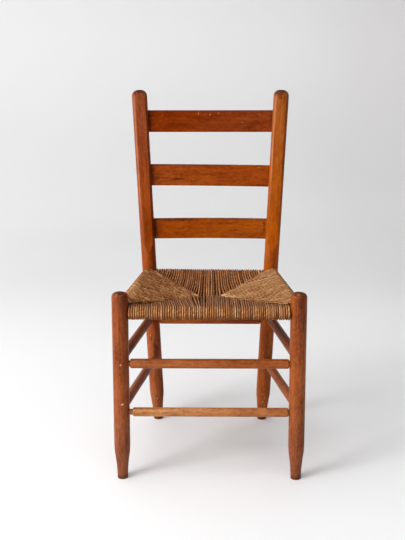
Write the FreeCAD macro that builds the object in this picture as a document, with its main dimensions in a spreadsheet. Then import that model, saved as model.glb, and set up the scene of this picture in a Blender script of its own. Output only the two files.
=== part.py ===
# Ladderback side chair with a woven rush seat.
#
# Row frame, millimetres: +Z up, the chair faces -Y, +X to the right as seen from
# the front, origin on the floor at the centre of the bounding box.
# "left" and "right" in every name are as seen from the front.
#
# Joinery: every rung and seat rail ends in a round tenon that stops just short of the
# leg's centre line, in a blind socket 1 mm deeper with a thin glue line around it.
# The cross rungs go in first, so where a side socket passes the same height it
# nicks the cross tenon.
import FreeCAD, Part
import Sketcher
import math
import os

V = FreeCAD.Vector
os.makedirs("parts", exist_ok=True)
doc = FreeCAD.newDocument("ladderback_chair")

# ---------------------------------------------------------------- dimensions
sheet = doc.addObject("Spreadsheet::Sheet", "dims")
DIM = {}
row_no = [1]


def dim(alias, value, note=""):
    r = row_no[0]
    sheet.set("A%d" % r, alias)
    sheet.set("B%d" % r, repr(float(value)))
    sheet.set("C%d" % r, note)
    sheet.setAlias("B%d" % r, alias)
    DIM[alias] = float(value)
    row_no[0] += 1
    return float(value)


dim("leg_rad", 19.05, "radius of all four uprights, 1 1/2 inch turning")
dim("foot_rad", 12.3, "radius at the floor")
dim("leg_top_z", 462.2, "top of the front leg's dome")
dim("front_half_floor", 207.4, "front legs, half spacing at the floor")
dim("front_half_seat", 204.3, "front legs, half spacing at the seat")
dim("back_half_floor", 143.7, "back posts, half spacing at the floor")
dim("back_half_seat", 161.6, "back posts, half spacing at the seat")
dim("leg_depth", 350.0, "front leg axis to back post axis")
dim("bend_z", 430.0, "height where the post's two straight lines cross")
dim("bend_rad", 600.0, "radius of the bend")
dim("lean_deg", 4.855, "backward lean above the seat")
dim("twist_deg", 3.7, "turns the plane of the bend outwards")
dim("post_up_len", 441.1, "straight upper part of the post")
dim("post_round", 15.5, "rounding of the post's top")
dim("post_swell", 0.75, "how much the post's radius grows from the bend to the top")
dim("flat_in", 4.8, "depth of the flat shaved on the post's front")
dim("flat_start_z", 474.0, "where the flat runs out")
dim("slat_thk", 7.0, "slat thickness")
dim("slat_high_top", 56.0, "top slat height")
dim("slat_high_mid", 56.0, "middle slat height")
dim("slat_high_low", 54.0, "bottom slat height")
dim("slat_bow", 12.5, "depth of the slat's curve over its visible length")
dim("slat_edge_rad", 1.8, "rounding of the slat's long edges")
dim("slat_end_gap", 2.0, "slat end to the post's axis")
dim("mortise_gap", 0.05, "glue line on each face of a mortise")
dim("tenon_rad", 7.0, "round tenon radius")
dim("socket_rad", 7.05, "round socket radius")
dim("tenon_stop", 1.05, "tenon end to the leg's axis")
dim("rung_rad_front", 11.3, "front rungs")
dim("rung_rad_low", 10.8, "lower front rung")
dim("rung_rad_back", 10.0, "back rung")
dim("rung_rad_side_a", 11.1, "left upper rung")
dim("rung_rad_side_b", 11.2, "left lower rung")
dim("rung_rad_side_c", 11.6, "right upper rung")
dim("rung_rad_side_d", 11.0, "right lower rung")
dim("rail_rad", 11.0, "front, back and left seat rails inside the rush")
dim("roll_rad", 16.0, "outside of the rush where it wraps those rails")
dim("rail_rad_right", 12.5, "right seat rail inside the rush")
dim("roll_rad_right", 17.5, "outside of the rush where it wraps the right rail")
dim("cord_wall", 4.95, "thickness of one layer of rush cord")
dim("seat_mid_top", 401.0, "top of the rush at the middle of the seat")
dim("seat_mid_low", 379.0, "underside of the rush at the middle of the seat")
dim("rail_z_front", 411.5, "front rail height")
dim("rail_z_left", 418.5, "left rail height")
dim("rail_z_right", 417.5, "right rail height")
dim("rail_z_back_left", 412.6, "back rail height at its left end")
dim("rail_z_back_right", 409.6, "back rail height at its right end")
dim("apex_half", 27.0, "half length of the bridge between the side triangles")
dim("apex_y", 190.0, "bridge behind the front rail")
doc.recompute()

R = DIM["leg_rad"]
Y0 = 194.40                      # front leg axis is at y = -Y0 in the row frame
LEAN = math.radians(DIM["lean_deg"])


def S(alias):
    return "<<dims>>.%s" % alias


sheet.Label = "dims"


# ---------------------------------------------------------------- helpers
def origin_plane(body, role):
    for f in body.Origin.OriginFeatures:
        if f.Role == role:
            return f
    raise RuntimeError(role)


def new_sketch(body, name, role, offset=None):
    sk = body.newObject("Sketcher::SketchObject", name)
    sk.AttachmentSupport = [(origin_plane(body, role), "")]
    sk.MapMode = "FlatFace"
    if offset is not None:
        sk.AttachmentOffset = offset
    return sk


def val(c):
    return c[1] if isinstance(c, tuple) else float(c)


def pin_point(sk, geo, pos, x, y):
    """Fix a vertex by its two coordinates; a (expression, value) pair is bound."""
    for axis, c in (("X", x), ("Y", y)):
        v = val(c)
        if abs(v) < 1e-9 and not isinstance(c, tuple):
            sk.addConstraint(Sketcher.Constraint("PointOnObject", geo, pos, -2 if axis == "X" else -1))
            continue
        n = sk.addConstraint(Sketcher.Constraint("Distance" + axis, -1, 1, geo, pos, v))
        if isinstance(c, tuple):
            sk.setExpression("Constraints[%d]" % n, c[0])


def outline(sk, pts):
    """Closed outline. Each item is (x, y) or (x, y, (mx, my)): the optional third
    entry is a point on the arc that leads from this vertex to the next one."""
    n = len(pts)
    ids = []
    for i, p in enumerate(pts):
        q = pts[(i + 1) % n]
        a, b = V(val(p[0]), val(p[1]), 0), V(val(q[0]), val(q[1]), 0)
        if len(p) > 2:
            m = V(p[2][0], p[2][1], 0)
            arc = Part.Arc(a, m, b)
            g = sk.addGeometry(arc, False)
            # an arc's own start and end follow its turning direction
            s = sk.getPoint(g, 1)
            first = 1 if (s - a).Length < 1e-6 else 2
            ids.append((g, first, 3 - first))
        else:
            g = sk.addGeometry(Part.LineSegment(a, b), False)
            ids.append((g, 1, 2))
    for i in range(n):
        g, s, e = ids[i]
        h, s2, e2 = ids[(i + 1) % n]
        sk.addConstraint(Sketcher.Constraint("Coincident", g, e, h, s2))
    for i, p in enumerate(pts):
        pin_point(sk, ids[i][0], ids[i][1], p[0], p[1])
        if len(p) > 2:
            q = pts[(i + 1) % n]
            rad = sk.Geometry[ids[i][0]].Radius
            chord = math.hypot(val(q[0]) - val(p[0]), val(q[1]) - val(p[1]))
            if abs(chord - 2.0 * rad) < 1e-6:      # half circle on the upright axis
                sk.addConstraint(Sketcher.Constraint("PointOnObject", ids[i][0], 3, -2))
            else:
                sk.addConstraint(Sketcher.Constraint("Radius", ids[i][0], rad))
    return ids


def circle(sk, r_expr, r):
    g = sk.addGeometry(Part.Circle(V(0, 0, 0), V(0, 0, 1), r), False)
    sk.addConstraint(Sketcher.Constraint("Coincident", g, 3, -1, 1))
    n = sk.addConstraint(Sketcher.Constraint("Radius", g, r))
    sk.setExpression("Constraints[%d]" % n, r_expr)
    return g


def new_body(name):
    return doc.addObject("PartDesign::Body", name)


def revolve(body, name, pts):
    """Turn an outline drawn in the body's XZ plane about the body's Z axis."""
    sk = new_sketch(body, name + "_profile", "XZ_Plane")
    outline(sk, pts)
    rev = body.newObject("PartDesign::Revolution", name + "_turning")
    rev.Profile = sk
    rev.ReferenceAxis = (sk, ["V_Axis"])
    rev.Angle = 360
    sk.Visibility = False
    doc.recompute()
    return rev


def pad(body, name, sk, length, midplane=False, expr=None):
    p = body.newObject("PartDesign::Pad", name)
    p.Profile = sk
    p.Length = length
    if midplane:
        p.Midplane = True
    if expr:
        p.setExpression("Length", expr)
    sk.Visibility = False
    doc.recompute()
    return p


def along(p, q):
    """Placement at p with local Z pointing to q."""
    return FreeCAD.Placement(p, FreeCAD.Rotation(V(0, 0, 1), q - p))


def frame_at(p, xdir, ydir, zdir):
    m = FreeCAD.Matrix(xdir.x, ydir.x, zdir.x, p.x,
                       xdir.y, ydir.y, zdir.y, p.y,
                       xdir.z, ydir.z, zdir.z, p.z,
                       0, 0, 0, 1)
    return FreeCAD.Placement(m)


def cylinder(name, p, q, r_alias, r=None, height=None):
    c = doc.addObject("Part::Cylinder", name)
    c.Radius = DIM[r_alias] if r is None else r
    if r is None:
        c.setExpression("Radius", S(r_alias))
    c.Height = (q - p).Length if height is None else height
    c.Placement = along(p, q)
    return c


def box(name, size, placement):
    b = doc.addObject("Part::Box", name)
    b.Length, b.Width, b.Height = size
    b.Placement = placement
    return b


nodes = {}


def node(name, base, tools):
    """The finished piece: the body less its sockets, mortises and clearances."""
    if tools:
        if len(tools) > 1:
            comp = doc.addObject("Part::MultiFuse", name + "_tools")
            comp.Shapes = tools
            tool = comp
        else:
            tool = tools[0]
        cut = doc.addObject("Part::Cut", name)
        cut.Base = base
        cut.Tool = tool
        base.Label = name + "_blank"
        cut.Label = name
        out = cut
    else:
        base.Label = name
        out = base
    nodes[name] = out
    return out


# ---------------------------------------------------------------- where things are
def P(x, y, z):
    """Chair point with y measured back from the front leg axis."""
    return V(x, y - Y0, z)


def front_axis(side, z):
    a, b = DIM["front_half_floor"], DIM["front_half_seat"]
    return P(side * (a + (b - a) * z / 425.0), 0.0, z)


def back_axis(side, z):
    a, b = DIM["back_half_floor"], DIM["back_half_seat"]
    return P(side * (a + (b - a) * z / 425.0), DIM["leg_depth"], z)


def up_axis(side, z):
    """Post axis above the bend."""
    lam, tw = LEAN, math.radians(DIM["twist_deg"])
    base = back_axis(side, DIM["bend_z"])
    d = post_rotation(side).multVec(V(0, math.sin(lam), math.cos(lam)))
    return base + d * ((z - base.z) / d.z)


def post_rotation(side):
    splay = math.degrees(math.atan2(DIM["back_half_seat"] - DIM["back_half_floor"], 425.0))
    ry = FreeCAD.Rotation(V(0, 1, 0), side * splay)
    rz = FreeCAD.Rotation(V(0, 0, 1), -side * DIM["twist_deg"])
    return ry.multiply(rz)


SIDE = {"left": -1, "right": 1}
floor_cut = box("floor_cut", (700, 700, 30), FreeCAD.Placement(V(-350, -350, -30), FreeCAD.Rotation()))

# rungs and rails: name, ends (upright axis points), radius alias, shoulder gaps at each end
cross = [
    ("front_seat_rail", front_axis(-1, DIM["rail_z_front"]), front_axis(1, DIM["rail_z_front"]), "rail_rad", 1.0, 1.0),
    ("back_seat_rail", back_axis(-1, DIM["rail_z_back_left"]), back_axis(1, DIM["rail_z_back_right"]), "rail_rad", 1.2, 1.2),
    ("front_rung_upper", front_axis(-1, 289.0), front_axis(1, 289.0), "rung_rad_front", 2.6, 1.0),
    ("front_rung_lower", front_axis(-1, 168.1), front_axis(1, 168.1), "rung_rad_low", 7.4, 1.0),
    ("back_rung", back_axis(-1, 284.5), back_axis(1, 284.5), "rung_rad_back", 1.0, 1.0),
]
zl_, zr_ = DIM["rail_z_left"], DIM["rail_z_right"]
sides = [
    ("left_seat_rail", front_axis(-1, zl_), back_axis(-1, zl_), "rail_rad", 1.0, 1.2),
    ("right_seat_rail", front_axis(1, zr_), back_axis(1, zr_), "rail_rad_right", 1.0, 1.2),
    ("left_rung_upper", front_axis(-1, 299.5), back_axis(-1, 297.3), "rung_rad_side_a", 1.2, 1.2),
    ("left_rung_lower", front_axis(-1, 176.5), back_axis(-1, 177.0), "rung_rad_side_b", 1.2, 1.2),
    ("right_rung_upper", front_axis(1, 302.8), back_axis(1, 299.8), "rung_rad_side_c", 1.2, 1.2),
    ("right_rung_lower", front_axis(1, 182.4), back_axis(1, 171.5), "rung_rad_side_d", 1.2, 1.2),
]
sockets = {("front", -1): [], ("front", 1): [], ("back", -1): [], ("back", 1): []}
side_sockets = {("front", -1): [], ("front", 1): [], ("back", -1): [], ("back", 1): []}


def upright_of(p):
    fb = "front" if p.y < 0 else "back"
    return fb, (-1 if p.x < 0 else 1)


for name, a, b, r_alias, ga, gb in cross + sides:
    for end, (p, q) in (("a", (a, b)), ("b", (b, a))):
        d = (q - p).normalize()
        c = cylinder("socket_%s_%s" % (name, end), p + d * 0.05, p + d * (R + 14.0), "socket_rad")
        key = upright_of(p)
        sockets[key].append(c)
        if (name, a, b, r_alias, ga, gb) in sides:
            side_sockets[key].append(c)


def stick_profile(length, r_alias, ga, gb):
    """Half outline of a turned rung: tenon, eased shoulder, barrel, shoulder, tenon."""
    t, r, stop = DIM["tenon_rad"], DIM[r_alias], DIM["tenon_stop"]
    z0, z1 = stop, length - stop
    s0, s1 = R + ga, length - R - gb
    e = 3.2
    te, re_, st = (S("tenon_rad"), t), (S(r_alias), r), (S("tenon_stop"), stop)
    mid0 = (r - 0.9, s0 + e * 0.38)
    mid1 = (r - 0.9, s1 - e * 0.38)
    step = r - 2.6
    return [
        (0.0, st), ((S("tenon_rad") + " - 0.8", t - 0.8), st), (te, (S("tenon_stop") + " + 0.8", stop + 0.8)),
        (te, s0), (step, s0, mid0), (re_, s0 + e),
        (re_, s1 - e, mid1), (step, s1), (te, s1),
        (te, z1 - 0.8), ((S("tenon_rad") + " - 0.8", t - 0.8), z1), (0.0, z1),
    ]


# ---------------------------------------------------------------- rungs and seat rails
TACK_S = (58.0, 74.0, 90.0)      # filler tacks, distance along each side rail from the front leg
tack_holes = {"left_seat_rail": [], "right_seat_rail": []}
tack_parts = []
for rail, sgn, zh, rr in (("left_seat_rail", 1, zl_, DIM["rail_rad"]), ("right_seat_rail", -1, zr_, DIM["rail_rad_right"])):
    a = front_axis(-sgn, zh)
    b = back_axis(-sgn, zh)
    u = (b - a).normalize()
    inward = V(sgn, 0, 0) - u * u.dot(V(sgn, 0, 0))
    inward.normalize()
    for i, s in enumerate(TACK_S):
        o = a + u * s
        h = cylinder("tack_hole_%s_%d" % (rail, i), o + inward * 0.5, o + inward * (rr + 3.0), None, r=0.85)
        tack_holes[rail].append(h)
        tb = new_body("tack_%s_%d" % (rail.split("_")[0], i))
        revolve(tb, tb.Name, [(0.0, -9.5), (0.3, -9.5), (0.8, -8.0), (0.8, 0.1), (3.4, 0.1), (3.2, 0.7), (0.0, 1.1)])
        tb.Placement = along(o + inward * rr, o + inward * 20.0)
        tack_parts.append(tb)

for name, a, b, r_alias, ga, gb in cross + sides:
    body = new_body(name + "_body")
    L = (b - a).Length
    revolve(body, name, stick_profile(L, r_alias, ga, gb))
    body.Placement = along(a, b)
    tools = []
    if any(name == c[0] for c in cross):
        for p in (a, b):
            for s in side_sockets[upright_of(p)]:
                sp = s.Placement.Base
                if abs(sp.z - p.z) < 14.04:
                    tools.append(s)
    tools += tack_holes.get(name, [])
    node(name, body, tools)

tacks = doc.addObject("Part::Compound", "rush_tacks")
tacks.Links = tack_parts
tacks.Label = "rush_tacks"
nodes["rush_tacks"] = tacks

# ---------------------------------------------------------------- front legs
for word, side in SIDE.items():
    name = "front_leg_" + word
    body = new_body(name + "_body")
    lr, fr, tz = (S("leg_rad"), R), (S("foot_rad"), DIM["foot_rad"]), (S("leg_top_z"), DIM["leg_top_z"])
    # the dome is part of a sphere centred on the leg's axis
    da, dh = 13.6, 3.2
    ds = (da * da + dh * dh) / (2.0 * dh)
    dp = math.asin(da / ds) / 2.0
    dome_mid = (ds * math.sin(dp), tz[1] - ds * (1.0 - math.cos(dp)))
    pts = [
        (0.0, -2.0), (fr, -2.0), (12.6, 8.0), (13.45, 26.7), (15.5, 47.7), (17.0, 58.5), (18.3, 69.0),
        (lr, 84.0), (lr, 449.93, (R - 1.467, 455.22)), (da, (S("leg_top_z") + " - 3.2", tz[1] - dh), dome_mid),
        (0.0, tz),
    ]
    revolve(body, name, pts)
    body.Placement = along(front_axis(side, 0.0), front_axis(side, 455.0))
    node(name, body, [floor_cut] + sockets[("front", side)])

# ---------------------------------------------------------------- slats
# name, height alias, height of the middle above the floor, how much the right end drops
slats = [
    ("top_slat", "slat_high_top", 815.3, 0.0),
    ("middle_slat", "slat_high_mid", 675.4, 0.59),
    ("bottom_slat", "slat_high_low", 535.6, 0.05),
]
mortises = {-1: [], 1: []}
thk, bow = DIM["slat_thk"], DIM["slat_bow"]
for name, h_alias, zc, drop in slats:
    h = DIM[h_alias]
    px = up_axis(1, zc).x                     # post axis at this height
    py = up_axis(1, zc).y
    a = px - R                                # the curve ends where it meets the posts
    rad = (a * a + bow * bow) / (2.0 * bow)
    ang = math.asin(a / rad)
    t = (R - DIM["slat_end_gap"]) / math.cos(ang)   # straight part along the tangent
    fwd = (R) * math.tan(ang)                 # brings the end's middle onto the post's axis
    rot = FreeCAD.Rotation(V(1, 0, 0), -DIM["lean_deg"]).multiply(FreeCAD.Rotation(V(0, 1, 0), drop))
    body = new_body(name + "_body")
    # plan outline: local X across, local Y back
    cy = fwd + bow - rad                      # centre of the arcs

    def on(rr, th):
        return (rr * math.sin(th), cy + rr * math.cos(th))

    ro, ri = rad + thk / 2.0, rad - thk / 2.0
    co, si = on(ro, ang), on(ri, ang)
    tx, ty = math.cos(ang), -math.sin(ang)
    eo = (co[0] + t * tx, co[1] + t * ty)
    ei = (si[0] + t * tx, si[1] + t * ty)
    sk = new_sketch(body, name + "_plan", "XY_Plane")
    outline(sk, [
        (-co[0], co[1], on(ro, 0.0)), (co[0], co[1]), (eo[0], eo[1]), (ei[0], ei[1]),
        (si[0], si[1], on(ri, 0.0)), (-si[0], si[1]), (-ei[0], ei[1]), (-eo[0], eo[1]),
    ])
    p = pad(body, name + "_board", sk, h, midplane=True, expr=S(h_alias))
    # round the four long edges of the curved face
    names = []
    for i, e in enumerate(p.Shape.Edges):
        bb = e.BoundBox
        if bb.XLength > 8.0 and bb.ZLength < 1e-6:
            names.append("Edge%d" % (i + 1))
    fil = body.newObject("PartDesign::Fillet", name + "_eased")
    fil.Base = (p, names)
    fil.Radius = DIM["slat_edge_rad"]
    fil.setExpression("Radius", S("slat_edge_rad"))
    doc.recompute()
    origin = V(0, py, zc)
    body.Placement = FreeCAD.Placement(origin, rot)
    node(name, body, [])
    # mortises: straight boxes on the slat's tangent
    g = DIM["mortise_gap"]
    for side in (-1, 1):
        mid = V(side * (co[0] + si[0]) / 2.0, (co[1] + si[1]) / 2.0, 0)
        d = V(side * tx, ty, 0)
        nrm = V(0, 0, 1).cross(d)
        start = mid - d * 12.0
        ln = 12.0 + t + 1.0
        loc = frame_at(start - nrm * (thk / 2.0 + g) - V(0, 0, h / 2.0 + g), d, nrm, V(0, 0, 1))
        pl = FreeCAD.Placement(origin, rot).multiply(loc)
        mb = box("mortise_%s_%s" % (name, "L" if side < 0 else "R"), (ln, thk + 2 * g, h + 2 * g), pl)
        mb.setExpression("Height", S(h_alias) + " + 2 * " + S("mortise_gap"))
        mb.setExpression("Width", S("slat_thk") + " + 2 * " + S("mortise_gap"))
        mortises[side].append(mb)

# ---------------------------------------------------------------- back posts
for word, side in SIDE.items():
    name = "back_post_" + word
    body = new_body(name + "_body")
    Rb = DIM["bend_rad"]
    # along the post's own axis: heights are lengths on the slanted axis, which
    # differ from true heights by under 0.1 percent
    zb = DIM["bend_z"] / math.cos(math.atan2(DIM["back_half_seat"] - DIM["back_half_floor"], 425.0))
    z0 = zb - Rb * math.tan(LEAN / 2.0)
    lr, fr = (S("leg_rad"), R), (S("foot_rad"), DIM["foot_rad"])
    revolve(body, name, [
        (0.0, -2.0), (fr, -2.0), (12.6, 6.0), (14.35, 35.5), (16.7, 56.5), (18.3, 69.5),
        (lr, 82.0), (lr, z0), (0.0, z0),
    ])
    # the bend: a slice of a torus about an axis behind the post
    sk = new_sketch(body, name + "_bend_section", "XY_Plane",
                    FreeCAD.Placement(V(0, 0, z0), FreeCAD.Rotation()))
    circle(sk, S("leg_rad"), R)
    ax = sk.addGeometry(Part.LineSegment(V(-30, Rb, 0), V(30, Rb, 0)), True)
    sk.addConstraint(Sketcher.Constraint("Horizontal", ax))
    n = sk.addConstraint(Sketcher.Constraint("DistanceY", -1, 1, ax, 1, Rb))
    sk.setExpression("Constraints[%d]" % n, S("bend_rad"))
    sk.addConstraint(Sketcher.Constraint("DistanceX", -1, 1, ax, 1, -30.0))
    sk.addConstraint(Sketcher.Constraint("DistanceX", -1, 1, ax, 2, 30.0))
    rev = body.newObject("PartDesign::Revolution", name + "_bend")
    rev.Profile = sk
    rev.ReferenceAxis = (sk, ["Axis0"])
    rev.Angle = DIM["lean_deg"]
    rev.setExpression("Angle", S("lean_deg"))
    doc.recompute()
    if rev.Shape.BoundBox.ZMax < z0 + 20.0:
        rev.Reversed = True
        doc.recompute()
    # the straight upper part
    ctr = V(0, Rb * (1.0 - math.cos(LEAN)), z0 + Rb * math.sin(LEAN))
    sk = new_sketch(body, name + "_upper_section", "XY_Plane",
                    FreeCAD.Placement(ctr, FreeCAD.Rotation(V(1, 0, 0), -DIM["lean_deg"])))
    circle(sk, S("leg_rad"), R)
    up = pad(body, name + "_upper", sk, DIM["post_up_len"], expr=S("post_up_len"))
    up.TaperAngle = math.degrees(math.atan(DIM["post_swell"] / DIM["post_up_len"]))
    up.setExpression("TaperAngle", "atan(%s / %s)" % (S("post_swell"), S("post_up_len")))
    doc.recompute()
    top_edge = None
    best = -1e9
    for i, e in enumerate(up.Shape.Edges):
        c = e.CenterOfMass
        if e.isClosed() and c.z > best:
            best, top_edge = c.z, "Edge%d" % (i + 1)
    fil = body.newObject("PartDesign::Fillet", name + "_rounded_top")
    fil.Base = (up, [top_edge])
    fil.Radius = DIM["post_round"]
    fil.setExpression("Radius", S("post_round"))
    doc.recompute()
    # the flat shaved on the front face above the seat, in the plane of the bend
    lu = V(0, math.sin(LEAN), math.cos(LEAN))       # along the upper part
    nf = V(0, -math.cos(LEAN), math.sin(LEAN))      # its forward normal

    def fp(s, off):
        q = ctr + lu * s + nf * off
        return (q.y, q.z)

    s_a = DIM["flat_start_z"] - ctr.z
    fi = DIM["flat_in"]
    q0 = fp(s_a - 12.0, R + 2.05)
    q1 = fp(s_a, R)
    q2 = fp(s_a + 27.0, R - fi)
    # the last 26 mm of the flat curve back towards the top
    up_l = DIM["post_up_len"]
    q3 = fp(up_l - 26.0, R - fi)
    bend_off = lambda d: 55.0 - math.sqrt(55.0 ** 2 - d * d)
    q3a = fp(up_l - 10.0, R - fi - bend_off(16.0))
    q3b = fp(up_l + 6.0, R - fi - bend_off(32.0))
    q4 = fp(up_l + 6.0, R + 22.0)
    q5 = fp(s_a - 12.0, R + 22.0)
    sk = new_sketch(body, name + "_flat_side_view", "YZ_Plane")
    outline(sk, [q0, q1, q2, (q3[0], q3[1], q3a), q3b, q4, q5])
    pk = body.newObject("PartDesign::Pocket", name + "_flat")
    pk.Profile = sk
    pk.Type = 0
    pk.Length = 80.0
    pk.Midplane = True
    doc.recompute()
    base = back_axis(side, 0.0)
    body.Placement = FreeCAD.Placement(base, post_rotation(side))
    node(name, body, [floor_cut] + sockets[("back", side)] + mortises[side])

# ---------------------------------------------------------------- rush seat
# Each of the four sections is a shell that wraps its rail and closes on the middle
# of the seat. Sections meet on upright seam planes from the legs to the bridge.
ZT, ZL = DIM["seat_mid_top"], DIM["seat_mid_low"]
W = DIM["cord_wall"]
corner = {
    "FL": front_axis(-1, 414.0), "FR": front_axis(1, 414.0),
    "BL": back_axis(-1, 414.0), "BR": back_axis(1, 414.0),
}
apex = {-1: P(-DIM["apex_half"], DIM["apex_y"], 0), 1: P(DIM["apex_half"], DIM["apex_y"], 0)}
sections = [
    ("front", "FL", "FR", ("rail_z_front", "rail_z_front"), [apex[1], apex[-1]]),
    ("right", "FR", "BR", ("rail_z_right", "rail_z_right"), [apex[1]]),
    ("back", "BR", "BL", ("rail_z_back_right", "rail_z_back_left"), [apex[-1], apex[1]]),
    ("left", "BL", "FL", ("rail_z_left", "rail_z_left"), [apex[-1]]),
]
POW = 1.25


def plan_body(name, pts, z0, h):
    b = new_body(name)
    sk = new_sketch(b, name + "_outline", "XY_Plane")
    outline(sk, [(p.x, p.y) for p in pts])
    pad(b, name + "_pad", sk, h)
    b.Placement = FreeCAD.Placement(V(0, 0, z0), FreeCAD.Rotation())
    return b


leg_clear = [cylinder("clear_leg_%d" % i, front_axis(s, 360.0), front_axis(s, 450.0), None, r=R + 0.4)
             for i, s in enumerate((-1, 1))]
post_clear = [cylinder("clear_post_%d" % i, back_axis(s, 360.0), back_axis(s, 450.0), None, r=R + 0.95)
              for i, s in enumerate((-1, 1))]
for c in leg_clear:
    c.setExpression("Radius", S("leg_rad") + " + 0.4")
for c in post_clear:
    c.setExpression("Radius", S("leg_rad") + " + 0.95")


def inset(pts, d):
    """Move each side of a convex plan polygon inwards by d."""
    n = len(pts)
    out = []
    cx = sum(p.x for p in pts) / n
    cy = sum(p.y for p in pts) / n
    lines = []
    for i in range(n):
        a, b = pts[i], pts[(i + 1) % n]
        u = V(b.x - a.x, b.y - a.y, 0).normalize()
        nn = V(-u.y, u.x, 0)
        if nn.dot(V(cx - a.x, cy - a.y, 0)) < 0:
            nn = nn * -1
        lines.append((V(a.x, a.y, 0) + nn * d, u))
    for i in range(n):
        (a, u), (b, w) = lines[i - 1], lines[i]
        det = u.x * -w.y + w.x * u.y
        t = ((b.x - a.x) * -w.y + w.x * (b.y - a.y)) / det
        out.append(a + u * t)
    return out


for word, c1, c2, z_names, tips in sections:
    name = "seat_rush_" + word
    a, b = corner[c1], corner[c2]
    za, zb_ = DIM[z_names[0]], DIM[z_names[1]]
    zr = (za + zb_) / 2.0
    sfx = "_right" if word == "right" else ""
    RO, RI = DIM["roll_rad" + sfx], DIM["rail_rad" + sfx] + 0.05
    # the roll follows its own rail, while the seams start from shared corners
    on_axis = {"F": front_axis, "B": back_axis}
    ra = on_axis[c1[0]](-1 if c1[1] == "L" else 1, za)
    rb = on_axis[c2[0]](-1 if c2[1] == "L" else 1, zb_)
    al = rb - ra
    L = al.Length
    al.normalize()
    inw = V(0, 0, 1).cross(al).normalize()
    up = al.cross(inw)
    D = inw.dot(V(tips[0].x - ra.x, tips[0].y - ra.y, 0))
    top = lambda u: (ZT - zr) + (RO - (ZT - zr)) * (1.0 - u) ** POW
    low = lambda u: (ZL - zr) + (-RO - (ZL - zr)) * (1.0 - u) ** POW
    us = (0.16, 0.34, 0.54, 0.76, 1.0)
    body = new_body(name + "_body")
    sk = new_sketch(body, name + "_section", "XY_Plane")
    pts = [(0.0, RO, (-RO, 0.0)), (0.0, -RO)]
    pts += [(D * u, low(u)) for u in us]
    pts += [(D * u, top(u)) for u in reversed(us)]
    outline(sk, pts)
    pad(body, name + "_roll", sk, L)
    sk = new_sketch(body, name + "_hollow_section", "XY_Plane")
    De = D - 8.0
    ue = De / D
    tang = math.radians(20.0)        # the upper layer leaves the rail on its tangent
    pin = [(RI * math.sin(tang), RI * math.cos(tang), (-RI, 0.0)), (0.0, -RI)]
    pin += [(D * u, low(u) + W) for u in us[:-1]] + [(De, low(ue) + W)]
    pin += [(De, top(ue) - W)] + [(D * u, top(u) - W) for u in reversed(us[:-1])]
    outline(sk, pin)
    pk = body.newObject("PartDesign::Pocket", name + "_hollow")
    pk.Profile = sk
    pk.Type = 1
    pk.Midplane = True
    doc.recompute()
    pl = frame_at(ra, inw, up, al)
    body.Placement = pl
    out = inw * -30.0
    plan_pts = [V(a.x, a.y, 0), V(a.x, a.y, 0) + out, V(b.x, b.y, 0) + out, V(b.x, b.y, 0)] + tips
    plan = plan_body(name + "_plan", plan_pts, 340.0, 120.0)
    common = doc.addObject("Part::Common", name + "_trimmed")
    common.Base = body
    common.Tool = plan
    node(name, common, leg_clear + post_clear)

    # stuffing pushed into the pocket of this section
    sname = "stuffing_" + word
    sb = new_body(sname + "_body")
    sk = new_sketch(sb, sname + "_section", "XY_Plane")
    c = 0.35
    d0, d1 = RI + 2.55, D - 9.5
    uu = [d0 / D] + [u for u in us[:-1] if D * u > d0 + 4.0] + [d1 / D]
    sp = [(D * u, low(u) + W + c) for u in uu] + [(D * u, top(u) - W - c) for u in reversed(uu)]
    outline(sk, sp)
    pad(sb, sname + "_pad", sk, L)
    sb.Placement = pl
    tri = [V(a.x, a.y, 0), V(b.x, b.y, 0)] + tips
    splan = plan_body(sname + "_plan", inset(tri, 1.2), 340.0, 120.0)
    scom = doc.addObject("Part::Common", sname + "_trimmed")
    scom.Base = sb
    scom.Tool = splan
    node(sname, scom, leg_clear + post_clear)

doc.recompute()

# ---------------------------------------------------------------- checks and files
bad = []
for o in doc.Objects:
    st = set(o.State) if hasattr(o, "State") else set()
    if "Invalid" in st or "Error" in st:
        bad.append((o.Name, sorted(st)))
if bad:
    raise RuntimeError("features in error: %s" % bad)
for name, o in nodes.items():
    sh = o.Shape
    if sh.isNull() or not sh.isValid():
        raise RuntimeError("bad shape: " + name)
    if not sh.Solids:
        raise RuntimeError("no solid: " + name)

total = None
for name, o in sorted(nodes.items()):
    o.Shape.exportStep(os.path.join("parts", name + ".step"))
    bb = o.Shape.BoundBox
    total = bb if total is None else total.united(bb)
    print("%-18s solids %d  vol %9.0f  x %.1f %.1f  y %.1f %.1f  z %.1f %.1f" % (
        name, len(o.Shape.Solids), o.Shape.Volume, bb.XMin, bb.XMax, bb.YMin, bb.YMax, bb.ZMin, bb.ZMax))
print("bbox x %.3f %.3f y %.3f %.3f z %.3f %.3f" % (
    total.XMin, total.XMax, total.YMin, total.YMax, total.ZMin, total.ZMax))
print("nodes", len(nodes))
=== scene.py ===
import bpy
import math
import numpy as np
from mathutils import Matrix, Vector


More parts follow.
